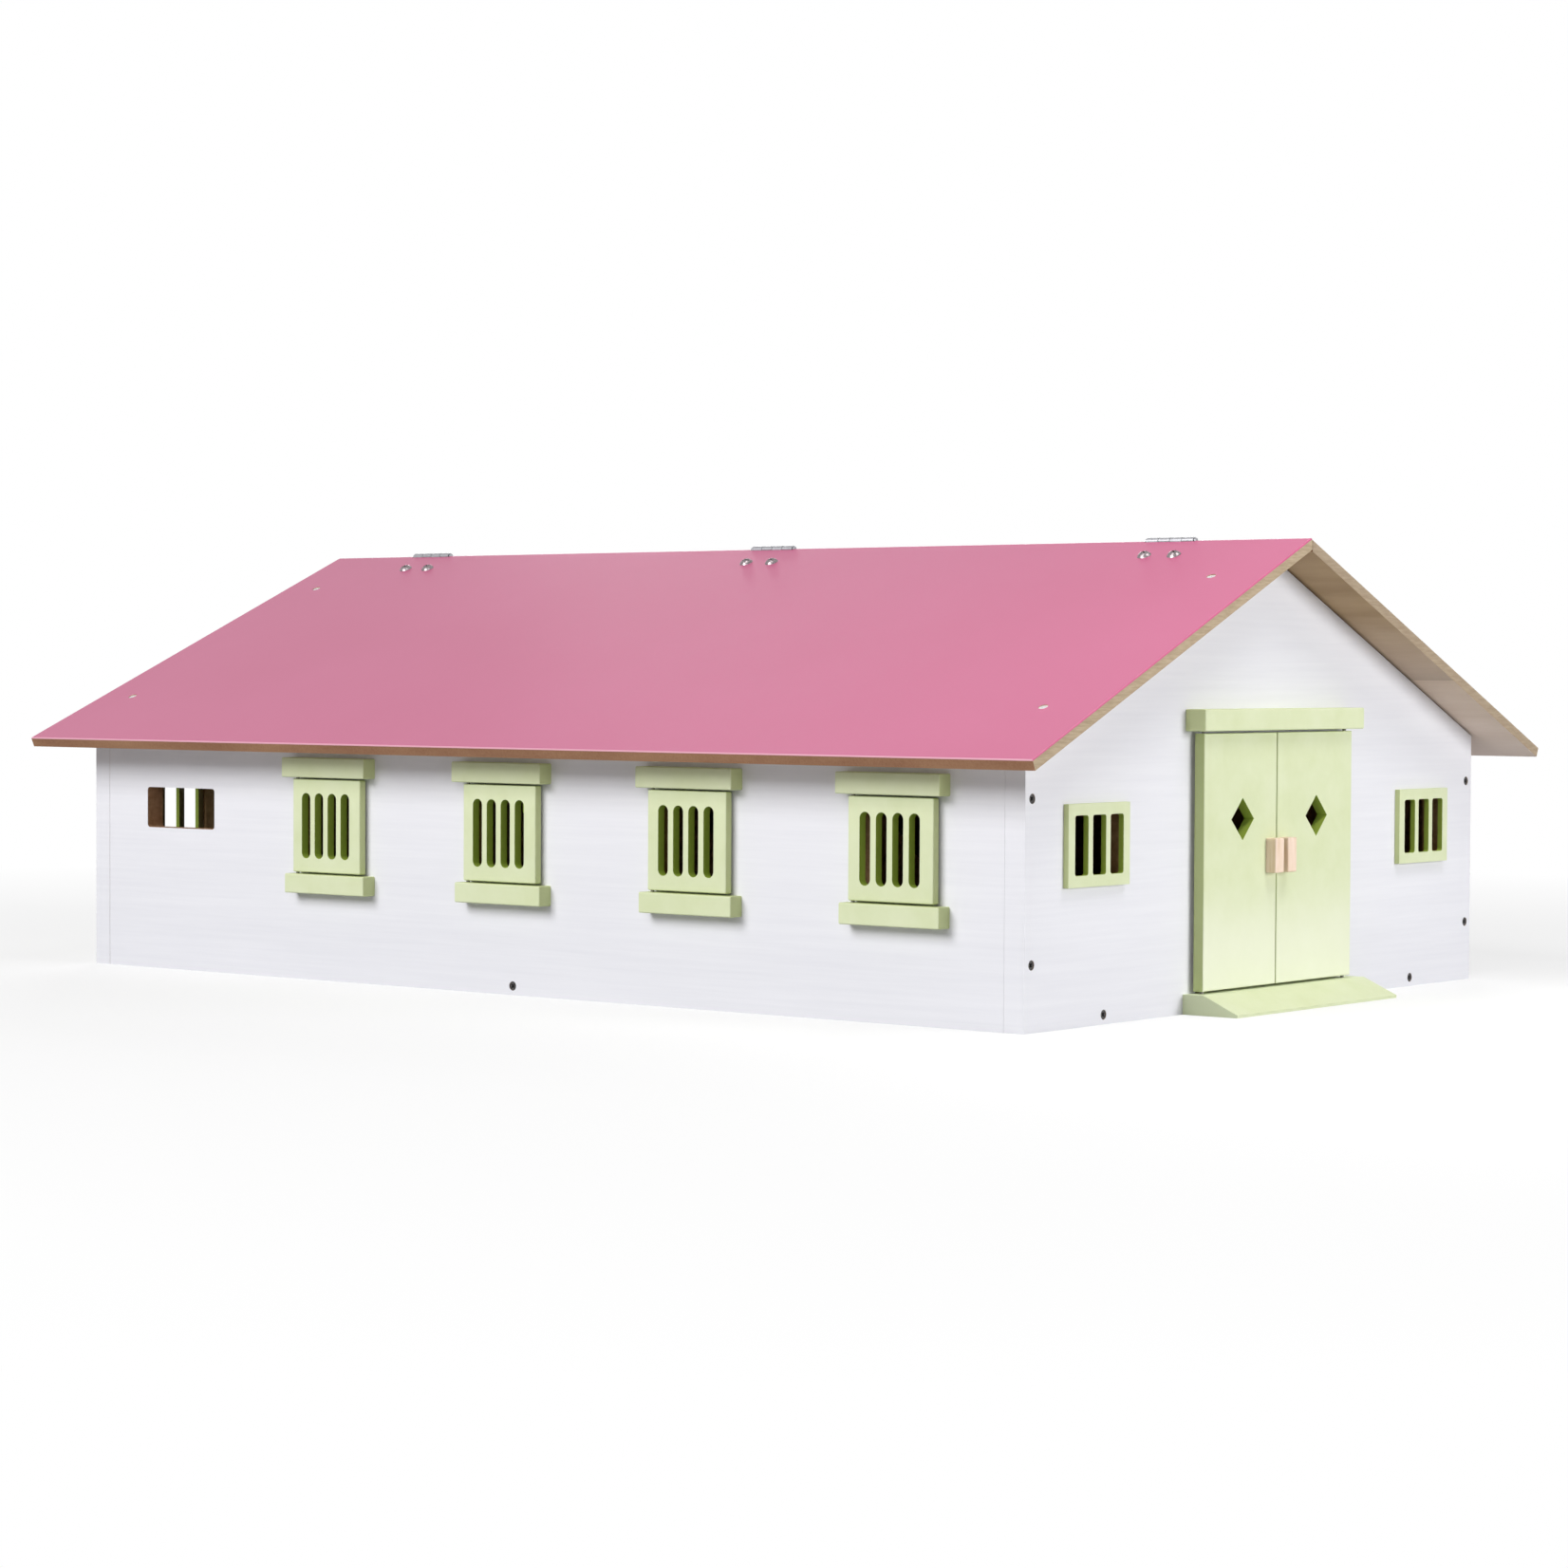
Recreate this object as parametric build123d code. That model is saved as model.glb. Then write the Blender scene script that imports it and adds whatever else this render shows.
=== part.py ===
"""A wooden toy stable at about 1:24: walls, a fixed front roof panel and a rear one that swings up on
three ridge hinges, a pair of doors in each gable, four grille shutters and the stall partitions inside.

Millimetres. X runs along the ridge towards the near gable, the front long wall faces -Y, Z is up.
The origin is on the ground under the middle of the building.
"""
import os
from math import cos, radians, sin, sqrt, tan

from build123d import *

# The building over its walls
LENGTH = 680.0              # along the ridge, over both gables
WIDTH = 452.0               # over both long walls
GABLE_HEIGHT = 243.3        # ground to the point of the gable wall
WALL_T = 12.0
FLOOR_T = 10.0

# The two roof panels
ROOF_PITCH = 23.8           # degrees
ROOF_T = 6.0
ROOF_EDGE_R = 1.0           # rounded upper edges
NEAR_OVERHANG = 26.6
FAR_OVERHANG = 21.4
EAVE_OVERHANG = 32.3        # level distance from the wall face to the panel's top corner
RIDGE_GAP = 0.4             # between the panels' upright edges at the ridge
LID_DROP = 0.9              # the lifting panel below the fixed one's level, square to its face
ROOF_SEAT = 0.3             # the lifting panel over the rear wall that it lies on
GABLE_RELIEF = 1.0          # the lifting panel over the gables

# Ridge hinges: knuckles on the joint between the panels, leaves bolted under them
HINGE_END = 62.0            # from a gable's outer face to the outer hinges
HINGE_W = 30.0
KNUCKLE_D = 4.0
KNUCKLES = 4
KNUCKLE_GAP = 0.3
HINGE_PIN_D = 2.0
HINGE_PIN_HEAD = 0.8
LEAF_T = 1.0
LEAF_REACH = 30.0           # from the ridge edge of the panel to the end of the leaf
LEAF_TAB = 10.0             # the leaf under the panel past the knuckles, towards +X
NOTCH_GAP = 0.3             # the panel's notch round the leaf and the pin's heads
BOLT_D = 4.0
BOLT_FIT = 0.05
BOLT_PITCH = 19.0           # about the middle of the leaf
BOLT_DOWN = 21.8            # from the ridge edge of the panel
BOLT_HEAD_D = 8.0
BOLT_HEAD_H = 2.4
BOLT_TAIL = 0.8             # thread that stands out of the nut
NUT_ACROSS = 7.0
NUT_H = 3.2

# Wood screws
SCREW_D = 3.0
SCREW_HEAD_D = 5.0
SCREW_L = 30.0
SCREW_TIP = 3.0             # length of the point
SCREW_POINT_D = 0.8
SCREW_SINK = 0.4            # head below the surface
SCREW_FIT = 0.05
CROSS_L = 2.8
CROSS_W = 0.8
CROSS_DEPTH = 1.0
CORNER_SCREW_Z = (33.6, 115.5)
FLOOR_SCREW_IN = 70.0       # long wall's outer face to a gable's screw into the floor panel
ROOF_SCREW_RIDGE = 52.6     # from the ridge edge of the panel
ROOF_SCREW_EAVE = 61.0      # from the eave edge

# Pivot pins of the doors and shutters
PIN_D = 2.0
PIN_FIT = 0.05
PIN_HOLD = 6.0              # length in the batten
PIN_REACH = 7.0             # length in the leaf

# Doors, lintel and ramp on each gable
DOOR_W = 150.6              # both leaves
DOOR_H = 134.4
DOOR_T = 6.0
DOOR_SPLIT = -3.0           # the joint between the leaves, from the middle of the gable
LEAVES_GAP = 0.8
DOOR_STANDOFF = 1.95        # leaf to wall
DOOR_GAP = 1.2              # leaf to lintel and to ramp
DOOR_LAP = 5.0              # leaf over the edge of the doorway
DOORWAY_R = 3.0
DOOR_PIVOT = 3.5            # pin to the leaf's edge
DIAMOND_Y = 37.65
DIAMOND_Z = 100.7
DIAMOND_SIDE = 15.9
HANDLE_W = 8.8
HANDLE_H = 18.5
HANDLE_T = 6.0
HANDLE_Z = 80.7
HANDLE_INSET = 2.05         # from the joint between the leaves
LINTEL_W = 162.6
LINTEL_H = 11.5
LINTEL_T = 12.2
RAMP_W = 164.5
RAMP_H = 10.5
RAMP_FLAT = 12.6
RAMP_L = 33.2
RAMP_TOE = 1.5

# Slotted plates over the small gable windows
GRILLE_IN = 60.9            # long wall's outer face to the middle of a plate
GRILLE_Z = 91.3
GRILLE_W = 55.1
GRILLE_H = 41.8
GRILLE_T = 3.0
GRILLE_SLOTS = 3
GRILLE_SLOT_W = 11.8
GRILLE_PITCH = 15.85
GRILLE_RAIL = 5.8
GRILLE_SLOT_R = 1.5
GRILLE_LAP = 2.0            # plate over the edge of the hole in the wall

# Front windows: a slotted shutter that turns between a header and a sill batten
WINDOWS = 4
WINDOW_PITCH = 133.4
WINDOW_END = 78.2           # near gable's outer face to the middle of the first window
WINDOW_DOWN = 55.3          # top of the wall's outer face to the middle of the windows
SHUTTER_W = 54.5
SHUTTER_H = 53.0
SHUTTER_T = 5.0
SHUTTER_STANDOFF = 1.5
SHUTTER_GAP = 1.0           # shutter to header and to sill
SHUTTER_LAP = 4.25          # shutter over the edge of the window opening
SHUTTER_RAIL = 7.85
SHUTTER_SLOTS = 4
SHUTTER_SLOT_W = 6.8
SHUTTER_PITCH = 10.35
WINDOW_R = 4.0
BATTEN_T = 9.4
HEADER_W = 65.6
HEADER_H = 11.2
SILL_W = 63.0
SILL_H = 11.0

# Open vent at the far end of the front wall
VENT_END = 74.4             # far gable's outer face to the middle of the vent
VENT_DOWN = 48.4            # top of the wall's outer face to the middle of the vent
VENT_W = 57.5
VENT_H = 23.8
VENT_R = 2.0

# Stall partitions, between the windows and mirrored on the rear side
PARTITION_T = 6.0
AISLE_W = 160.0
STALL_HEAD_H = 95.0         # height above the floor at the wall
STALL_TAIL_H = 62.0         # height at the aisle
STALL_LEVEL = 42.0          # level stretch at the wall
STALL_TAIL = 18.0           # level stretch at the aisle
STALL_NOSE_R = 8.0

EDGE_R = 0.8                # sanded edges of the painted pieces
WALL_EASE = 0.3             # eased outer ends of the long walls

ROOF_RISE = tan(radians(ROOF_PITCH))
ROOF_COS = cos(radians(ROOF_PITCH))
ROOF_SIN = sin(radians(ROOF_PITCH))
FRONT, REAR = -1, 1
INSIDE_L = LENGTH - 2 * WALL_T
INSIDE_W = WIDTH - 2 * WALL_T


def eased(size, share=0.3):
    """The sanded edge radius, held to a share of a thin piece."""
    return min(EDGE_R, share * size)


def prism_along_x(points, length):
    """A solid of constant Y-Z outline, centred on X = 0."""
    face = make_face(Polyline(*[(0, y, z) for y, z in points], close=True))
    return extrude(face, length / 2, dir=(1, 0, 0), both=True)


def block(x0, x1, y0, y1, z0, z1):
    return Pos((x0 + x1) / 2, (y0 + y1) / 2, (z0 + z1) / 2) * Box(x1 - x0, y1 - y0, z1 - z0)


def far_end(solid):
    """The same piece at the far gable."""
    return Rot(0, 0, 180) * solid


# Roof geometry. Distances down a panel are measured from its upper ridge edge.

def underside_z(side, y):
    """Height of a panel's underside. The fixed one's meets the height of the gables over their middle."""
    drop = LID_DROP if side == REAR else 0.0
    return GABLE_HEIGHT - side * ROOF_RISE * y - drop / ROOF_COS


def ridge_edge(side):
    """Y and Z of the panel's upper edge at the ridge, where it is cut upright."""
    y = side * RIDGE_GAP / 2
    return y, underside_z(side, y) + ROOF_T / ROOF_COS


def roof_point(side, down, depth=0.0):
    """Y and Z of a point down a panel and below its top face."""
    y, z = ridge_edge(side)
    return (y + side * (ROOF_COS * down - ROOF_SIN * depth),
            z - ROOF_SIN * down - ROOF_COS * depth)


def roof_plane(side, x, down, depth=0.0):
    """A plane on the panel whose Z axis is the panel's outward normal."""
    y, z = roof_point(side, down, depth)
    return Plane(origin=(x, y, z), x_dir=(1, 0, 0), z_dir=(0, side * ROOF_SIN, ROOF_COS))


ROOF_DOWN = (WIDTH / 2 + EAVE_OVERHANG - RIDGE_GAP / 2) / ROOF_COS
HINGE_AXIS_Z = GABLE_HEIGHT + ROOF_T
HINGE_XS = [k * (LENGTH / 2 - HINGE_END) for k in (-1, 0, 1)]
KNUCKLE_L = (HINGE_W - (KNUCKLES - 1) * KNUCKLE_GAP) / KNUCKLES
LEAF_FACE = KNUCKLE_D / 2          # the leaf's outer face is tangent to the knuckle


def hinge_bolt_planes(side, x):
    """The two bolts of the hinge whose knuckles are about x."""
    return [roof_plane(side, x + (LEAF_TAB + k * BOLT_PITCH) / 2, BOLT_DOWN) for k in (-1, 1)]


def bolt_planes(side):
    return [plane for x in HINGE_XS for plane in hinge_bolt_planes(side, x)]


def roof_screw_planes():
    gable_x = (LENGTH - WALL_T) / 2
    return [roof_plane(FRONT, k * gable_x, down)
            for k in (-1, 1) for down in (ROOF_SCREW_RIDGE, ROOF_DOWN - ROOF_SCREW_EAVE)]


# Fasteners

def turned(outline):
    """A solid of revolution about Z from a closed outline in radius and height."""
    return revolve(Plane.XZ * make_face(outline), Axis.Z)


def cross_recess(length, top):
    """The two cuts of a cross recess, down from the height top."""
    return [Pos(0, 0, top) * Rot(0, 0, turn) * Box(length, CROSS_W, 2 * CROSS_DEPTH) for turn in (45, 135)]


def wood_screw():
    """A countersunk screw into -Z, its head just below the surface at Z = 0."""
    head_r, r = SCREW_HEAD_D / 2, SCREW_D / 2
    outline = Polyline((0, -SCREW_SINK), (head_r, -SCREW_SINK), (r, -SCREW_SINK - head_r + r),
                       (r, SCREW_TIP - SCREW_L), (SCREW_POINT_D / 2, -SCREW_L), (0, -SCREW_L), close=True)
    return turned(outline) - cross_recess(CROSS_L, -SCREW_SINK)


def screw_hole():
    """The countersunk hole of a wood screw, open above the surface at Z = 0."""
    head_r, r, end = SCREW_HEAD_D / 2 + SCREW_FIT, SCREW_D / 2 + SCREW_FIT, -SCREW_L - SCREW_FIT
    outline = Polyline((0, SCREW_D), (head_r, SCREW_D), (head_r, -SCREW_SINK),
                       (r, -SCREW_SINK - head_r + r), (r, end), (0, end), close=True)
    return turned(outline)


def bolt():
    """A pan head bolt down a roof panel, its leaf and its nut, head on the top face."""
    length = ROOF_T + LEAF_T + NUT_H + BOLT_TAIL
    radius = (BOLT_HEAD_D ** 2 / 4 + BOLT_HEAD_H ** 2) / (2 * BOLT_HEAD_H)
    head = Pos(0, 0, BOLT_HEAD_H - radius) * Sphere(radius)
    head &= Pos(0, 0, BOLT_HEAD_H / 2) * Cylinder(BOLT_HEAD_D, BOLT_HEAD_H)
    shank = Pos(0, 0, -length / 2) * Cylinder(BOLT_D / 2, length)
    return head + shank - cross_recess(BOLT_HEAD_D / 2, BOLT_HEAD_H)


def nut():
    """A hexagon nut under the leaf, about the same axis as its bolt."""
    body = extrude(RegularPolygon(NUT_ACROSS / 2, 6, major_radius=False), -NUT_H)
    body -= Cylinder(BOLT_D / 2 + BOLT_FIT, 4 * NUT_H)
    return Pos(0, 0, -ROOF_T - LEAF_T) * body


SCREW = wood_screw()
SCREW_HOLE = screw_hole()
BOLT = bolt()
BOLT_HOLE = Cylinder(BOLT_D / 2 + BOLT_FIT, 4 * ROOF_T)
NUT = nut()


def group(piece, planes):
    return Compound([plane * piece for plane in planes])


def drilled(solid, hole, planes):
    for plane in planes:
        solid -= plane * hole
    return solid


def corner_screw_planes():
    """Through the gables into the ends of the long walls."""
    y = (WIDTH - WALL_T) / 2
    return [Plane(origin=(end * LENGTH / 2, side * y, z), z_dir=(end, 0, 0))
            for end in (-1, 1) for side in (FRONT, REAR) for z in CORNER_SCREW_Z]


def floor_screw_planes():
    """Through the gables and the middle of the long walls into the edges of the floor panel."""
    y, z = WIDTH / 2 - FLOOR_SCREW_IN, FLOOR_T / 2
    at_gables = [Plane(origin=(end * LENGTH / 2, k * y, z), z_dir=(end, 0, 0))
                 for end in (-1, 1) for k in (-1, 1)]
    at_walls = [Plane(origin=(0, side * WIDTH / 2, z), z_dir=(0, side, 0)) for side in (FRONT, REAR)]
    return at_gables + at_walls


# Walls, floor and roof

def window_x(index):
    """Middle of a front window, counted from the near gable."""
    return LENGTH / 2 - WINDOW_END - index * WINDOW_PITCH


def wall_z(side, inset=0.0):
    """Height of a long wall's top at a distance in from its outer face, under the panel on it."""
    seat = ROOF_SEAT if side == REAR else 0.0
    return underside_z(side, side * (WIDTH / 2 - inset)) - seat / ROOF_COS


WINDOW_Z = wall_z(FRONT) - WINDOW_DOWN
VENT_Z = wall_z(FRONT) - VENT_DOWN


def wall_opening(x, z, width, height, radius):
    """A round-cornered cutter through the front wall."""
    outer = Plane(origin=(x, -WIDTH / 2, z), x_dir=(1, 0, 0), z_dir=(0, -1, 0))
    return extrude(outer * RectangleRounded(width, height, radius), 2 * WALL_T, both=True)


def long_wall(side):
    """A long wall between the gables, its top bevelled to the roof's slope and its outer ends eased."""
    outer, inner = side * WIDTH / 2, side * INSIDE_W / 2
    wall = prism_along_x([(outer, 0), (inner, 0), (inner, wall_z(side, WALL_T)), (outer, wall_z(side))],
                         INSIDE_L)
    ends = wall.edges().filter_by(Axis.Z).filter_by(lambda e: abs(e.center().Y - outer) < WALL_EASE)
    wall = chamfer(ends, WALL_EASE)
    return drilled(wall, SCREW_HOLE, corner_screw_planes() + floor_screw_planes())


def front_wall():
    wall = long_wall(FRONT)
    for index in range(WINDOWS):
        wall -= wall_opening(window_x(index), WINDOW_Z, SHUTTER_W - 2 * SHUTTER_LAP,
                             SHUTTER_H - 2 * SHUTTER_LAP, WINDOW_R)
    return wall - wall_opening(-LENGTH / 2 + VENT_END, VENT_Z, VENT_W, VENT_H, VENT_R)


def gable_wall():
    """The near gable with its doorway, two small window holes and screw holes. Its rear slope is relieved
    below the lifting panel, which moves its point towards the front."""
    half, relief = WIDTH / 2, (LID_DROP + GABLE_RELIEF) / ROOF_COS
    point = (-relief / (2 * ROOF_RISE), GABLE_HEIGHT - relief / 2)
    outline = Polyline((-half, 0), (half, 0), (half, GABLE_HEIGHT - relief - ROOF_RISE * half), point,
                       (-half, GABLE_HEIGHT - ROOF_RISE * half), close=True)
    top = DOOR_LOW + DOOR_H - DOOR_LAP
    doorway = Pos(0, (top + FLOOR_T) / 2) * Rectangle(DOOR_W - 2 * DOOR_LAP, top - FLOOR_T)
    doorway = fillet(doorway.vertices().sort_by(Axis.Y)[-2:], DOORWAY_R)
    window = RectangleRounded(GRILLE_W - 2 * GRILLE_LAP, GRILLE_H - 2 * GRILLE_LAP, GRILLE_SLOT_R)
    face = make_face(outline) - doorway - [Pos(k * GRILLE_Y, GRILLE_Z) * window for k in (-1, 1)]
    outer = Plane(origin=(LENGTH / 2, 0, 0), x_dir=(0, 1, 0), z_dir=(1, 0, 0))
    wall = extrude(outer * face, -WALL_T)
    return drilled(wall, SCREW_HOLE, corner_screw_planes() + floor_screw_planes() + roof_screw_planes())


def floor_panel():
    panel = block(-INSIDE_L / 2, INSIDE_L / 2, -INSIDE_W / 2, INSIDE_W / 2, 0, FLOOR_T)
    return drilled(panel, SCREW_HOLE, floor_screw_planes())


def roof_panel(side):
    """A board with rounded upper edges, cut upright at the ridge, notched there for the hinges and
    drilled for their bolts."""
    y = ridge_edge(side)[0]
    outline = [ridge_edge(side), roof_point(side, ROOF_DOWN), roof_point(side, ROOF_DOWN, ROOF_T),
               (y, underside_z(side, y))]
    panel = prism_along_x(outline, LENGTH + NEAR_OVERHANG + FAR_OVERHANG)
    top = panel.faces().sort_by(SortBy.AREA)[-2:].sort_by(Axis.Z)[-1]
    panel = Pos((NEAR_OVERHANG - FAR_OVERHANG) / 2, 0, 0) * fillet(top.edges(), ROOF_EDGE_R)
    room = KNUCKLE_GAP + HINGE_PIN_HEAD + NOTCH_GAP
    notch = Box(HINGE_W + 2 * room, 2 * (LEAF_FACE + NOTCH_GAP), 4 * ROOF_T)
    for x in HINGE_XS:
        panel -= Pos(x, 0, GABLE_HEIGHT) * notch
    return drilled(panel, BOLT_HOLE, bolt_planes(side))


# Ridge hinges

def hinge_leaf(side, x):
    """A sheet leaf: knuckles on the pin, a web down the notch and a wider flange under the panel."""
    outer, inner = side * LEAF_FACE, side * (LEAF_FACE - LEAF_T)
    end_top, end_low = roof_point(side, LEAF_REACH, ROOF_T), roof_point(side, LEAF_REACH, ROOF_T + LEAF_T)
    bend = underside_z(side, inner)
    web = prism_along_x([(outer, HINGE_AXIS_Z), (inner, HINGE_AXIS_Z), (inner, bend),
                         (outer, underside_z(side, outer))], HINGE_W)
    flange = prism_along_x([(inner, bend), (inner, bend - LEAF_T / ROOF_COS), end_low, end_top],
                           HINGE_W + LEAF_TAB)
    sheet = web + Pos(LEAF_TAB / 2, 0, 0) * flange
    first = 0 if side == FRONT else 1
    pitch = KNUCKLE_L + KNUCKLE_GAP
    for index in range(KNUCKLES):
        middle = -HINGE_W / 2 + KNUCKLE_L / 2 + index * pitch
        if index % 2 == first:
            sheet += Pos(middle, 0, HINGE_AXIS_Z) * Rot(0, 90, 0) * Cylinder(KNUCKLE_D / 2, KNUCKLE_L)
        else:
            clear = KNUCKLE_D / 2 + KNUCKLE_GAP
            sheet -= block(middle - KNUCKLE_L / 2 - KNUCKLE_GAP, middle + KNUCKLE_L / 2 + KNUCKLE_GAP,
                           -KNUCKLE_D, KNUCKLE_D, HINGE_AXIS_Z - clear, HINGE_AXIS_Z + clear)
    sheet -= Pos(0, 0, HINGE_AXIS_Z) * Rot(0, 90, 0) * Cylinder(HINGE_PIN_D / 2 + PIN_FIT, 2 * HINGE_W)
    return Pos(x, 0, 0) * drilled(sheet, BOLT_HOLE, hinge_bolt_planes(side, 0))


def hinge_pin(x):
    """A pin with a flat head at each end of the knuckles."""
    head_r = (HINGE_PIN_D + KNUCKLE_D) / 4
    end = HINGE_W / 2 + KNUCKLE_GAP
    pin = Cylinder(HINGE_PIN_D / 2, 2 * end)
    for k in (-1, 1):
        pin += Pos(0, 0, k * (end + HINGE_PIN_HEAD / 2)) * Cylinder(head_r, HINGE_PIN_HEAD)
    return Pos(x, 0, HINGE_AXIS_Z) * Rot(0, 90, 0) * pin


# Doors, lintel and ramp, on the near gable

GRILLE_Y = WIDTH / 2 - GRILLE_IN
DOOR_LOW = RAMP_H + DOOR_GAP
LINTEL_LOW = DOOR_LOW + DOOR_H + DOOR_GAP
DOOR_BACK = LENGTH / 2 + DOOR_STANDOFF
DOOR_PIVOT_X = DOOR_BACK + DOOR_T / 2
DOOR_PIVOT_Y = DOOR_W / 2 - DOOR_PIVOT


def pin_hole(x, y, z, depth):
    """A pivot pin's hole, cut to its depth on both sides of the height z."""
    return Pos(x, y, z) * Cylinder(PIN_D / 2 + PIN_FIT, 2 * (depth + PIN_FIT))


def pivot_pin(x, y, batten_z, leaf_z):
    """A headless pin held in a batten and standing in the end of a leaf."""
    towards = 1 if leaf_z > batten_z else -1
    z0, z1 = batten_z - towards * PIN_HOLD, leaf_z + towards * PIN_REACH
    return Pos(x, y, (z0 + z1) / 2) * Cylinder(PIN_D / 2, abs(z1 - z0))


def lintel():
    x0 = LENGTH / 2
    bar = block(x0, x0 + LINTEL_T, -LINTEL_W / 2, LINTEL_W / 2, LINTEL_LOW, LINTEL_LOW + LINTEL_H)
    bar = fillet(bar.edges().filter_by(lambda e: e.center().X > x0 + EDGE_R), eased(LINTEL_H))
    for k in (-1, 1):
        bar -= pin_hole(DOOR_PIVOT_X, k * DOOR_PIVOT_Y, LINTEL_LOW, PIN_HOLD)
    return bar


def ramp():
    """A wedge with a level strip under the doors."""
    outline = Polyline((0, 0), (RAMP_L, 0), (RAMP_L, RAMP_TOE), (RAMP_FLAT, RAMP_H), (0, RAMP_H), close=True)
    side = Plane(origin=(LENGTH / 2, 0, 0), x_dir=(1, 0, 0), z_dir=(0, -1, 0))
    wedge = extrude(side * make_face(outline), RAMP_W / 2, both=True)
    for k in (-1, 1):
        wedge -= pin_hole(DOOR_PIVOT_X, k * DOOR_PIVOT_Y, RAMP_H, PIN_HOLD)
    return wedge


def door_leaf(side):
    """A leaf with a diamond cut-out; side -1 is the one towards the front wall."""
    edges = sorted((side * DOOR_W / 2, DOOR_SPLIT + side * LEAVES_GAP / 2))
    leaf = block(DOOR_BACK, DOOR_BACK + DOOR_T, edges[0], edges[1], DOOR_LOW, DOOR_LOW + DOOR_H)
    leaf = fillet(leaf.edges().group_by(Axis.X)[-1], eased(DOOR_T))
    diamond = Rot(45, 0, 0) * Box(4 * DOOR_T, DIAMOND_SIDE, DIAMOND_SIDE)
    leaf -= Pos(DOOR_BACK, side * DIAMOND_Y, DIAMOND_Z) * diamond
    for z in (DOOR_LOW, DOOR_LOW + DOOR_H):
        leaf -= pin_hole(DOOR_PIVOT_X, side * DOOR_PIVOT_Y, z, PIN_REACH)
    return leaf


def door_handle(side):
    """A bare block glued on the leaf beside the joint between the leaves."""
    near, x0 = DOOR_SPLIT + side * HANDLE_INSET, DOOR_BACK + DOOR_T
    edges = sorted((near, near + side * HANDLE_W))
    grip = block(x0, x0 + HANDLE_T, edges[0], edges[1], HANDLE_Z - HANDLE_H / 2, HANDLE_Z + HANDLE_H / 2)
    return fillet(grip.edges().filter_by(lambda e: e.center().X > x0 + EDGE_R), eased(HANDLE_W))


def door_pins():
    pins = []
    for k in (-1, 1):
        pins += [pivot_pin(DOOR_PIVOT_X, k * DOOR_PIVOT_Y, RAMP_H, DOOR_LOW),
                 pivot_pin(DOOR_PIVOT_X, k * DOOR_PIVOT_Y, LINTEL_LOW, DOOR_LOW + DOOR_H)]
    return pins


def gable_grille(side):
    """A thin slotted plate glued over the window hole."""
    slot = RectangleRounded(GRILLE_SLOT_W, GRILLE_H - 2 * GRILLE_RAIL, GRILLE_SLOT_R)
    half = (GRILLE_SLOTS - 1) / 2
    slots = [Pos((k - half) * GRILLE_PITCH, 0) * slot for k in range(GRILLE_SLOTS)]
    face = Rectangle(GRILLE_W, GRILLE_H) - slots
    outer = Plane(origin=(LENGTH / 2, side * GRILLE_Y, GRILLE_Z), x_dir=(0, 1, 0), z_dir=(1, 0, 0))
    return extrude(outer * face, GRILLE_T)


# Shutters, headers and sills, about the middle of a window

SHUTTER_BACK = -WIDTH / 2 - SHUTTER_STANDOFF
SHUTTER_LOW = WINDOW_Z - SHUTTER_H / 2
SHUTTER_HIGH = WINDOW_Z + SHUTTER_H / 2
SHUTTER_PIVOT_X = -SHUTTER_W / 2 + SHUTTER_T / 2      # from the middle of the window
SHUTTER_PIVOT_Y = SHUTTER_BACK - SHUTTER_T / 2


def batten(x0, x1, z0, z1, pin_z):
    """A header or sill on the wall's outer face, with the hole of its pivot pin."""
    y0 = -WIDTH / 2
    bar = block(x0, x1, y0 - BATTEN_T, y0, z0, z1)
    bar = fillet(bar.edges().filter_by(lambda e: e.center().Y < y0 - EDGE_R), eased(BATTEN_T))
    return bar - pin_hole(SHUTTER_PIVOT_X, SHUTTER_PIVOT_Y, pin_z, PIN_HOLD)


def window_header():
    low = SHUTTER_HIGH + SHUTTER_GAP
    return batten(-HEADER_W / 2, HEADER_W / 2, low, low + HEADER_H, low)


def window_sill():
    """Shorter than the header and flush with it beside the shutter's free edge."""
    high = SHUTTER_LOW - SHUTTER_GAP
    return batten(HEADER_W / 2 - SILL_W, HEADER_W / 2, high - SILL_H, high, high)


def shutter():
    """A board with round-ended slots, and a half-round edge about the pins that it turns on."""
    round_end = Pos(SHUTTER_PIVOT_X, SHUTTER_PIVOT_Y) * Circle(SHUTTER_T / 2)
    straight = Pos(SHUTTER_T / 4, SHUTTER_PIVOT_Y) * Rectangle(SHUTTER_W - SHUTTER_T / 2, SHUTTER_T)
    outline = round_end + fillet(straight.vertices().group_by(Axis.X)[-1], eased(SHUTTER_T))
    board = extrude(Pos(0, 0, SHUTTER_LOW) * outline, SHUTTER_H)
    rims = board.edges().group_by(Axis.Z)
    board = fillet(rims[0] + rims[-1], eased(SHUTTER_T))
    slot = Rot(0, 0, 90) * SlotOverall(SHUTTER_H - 2 * SHUTTER_RAIL, SHUTTER_SLOT_W)
    face = Plane(origin=(0, SHUTTER_BACK, WINDOW_Z), x_dir=(1, 0, 0), z_dir=(0, -1, 0))
    half = (SHUTTER_SLOTS - 1) / 2
    for k in range(SHUTTER_SLOTS):
        board -= extrude(face * Pos((k - half) * SHUTTER_PITCH, 0) * slot, 2 * SHUTTER_T, both=True)
    for z in (SHUTTER_LOW, SHUTTER_HIGH):
        board -= pin_hole(SHUTTER_PIVOT_X, SHUTTER_PIVOT_Y, z, PIN_REACH)
    return board


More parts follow.
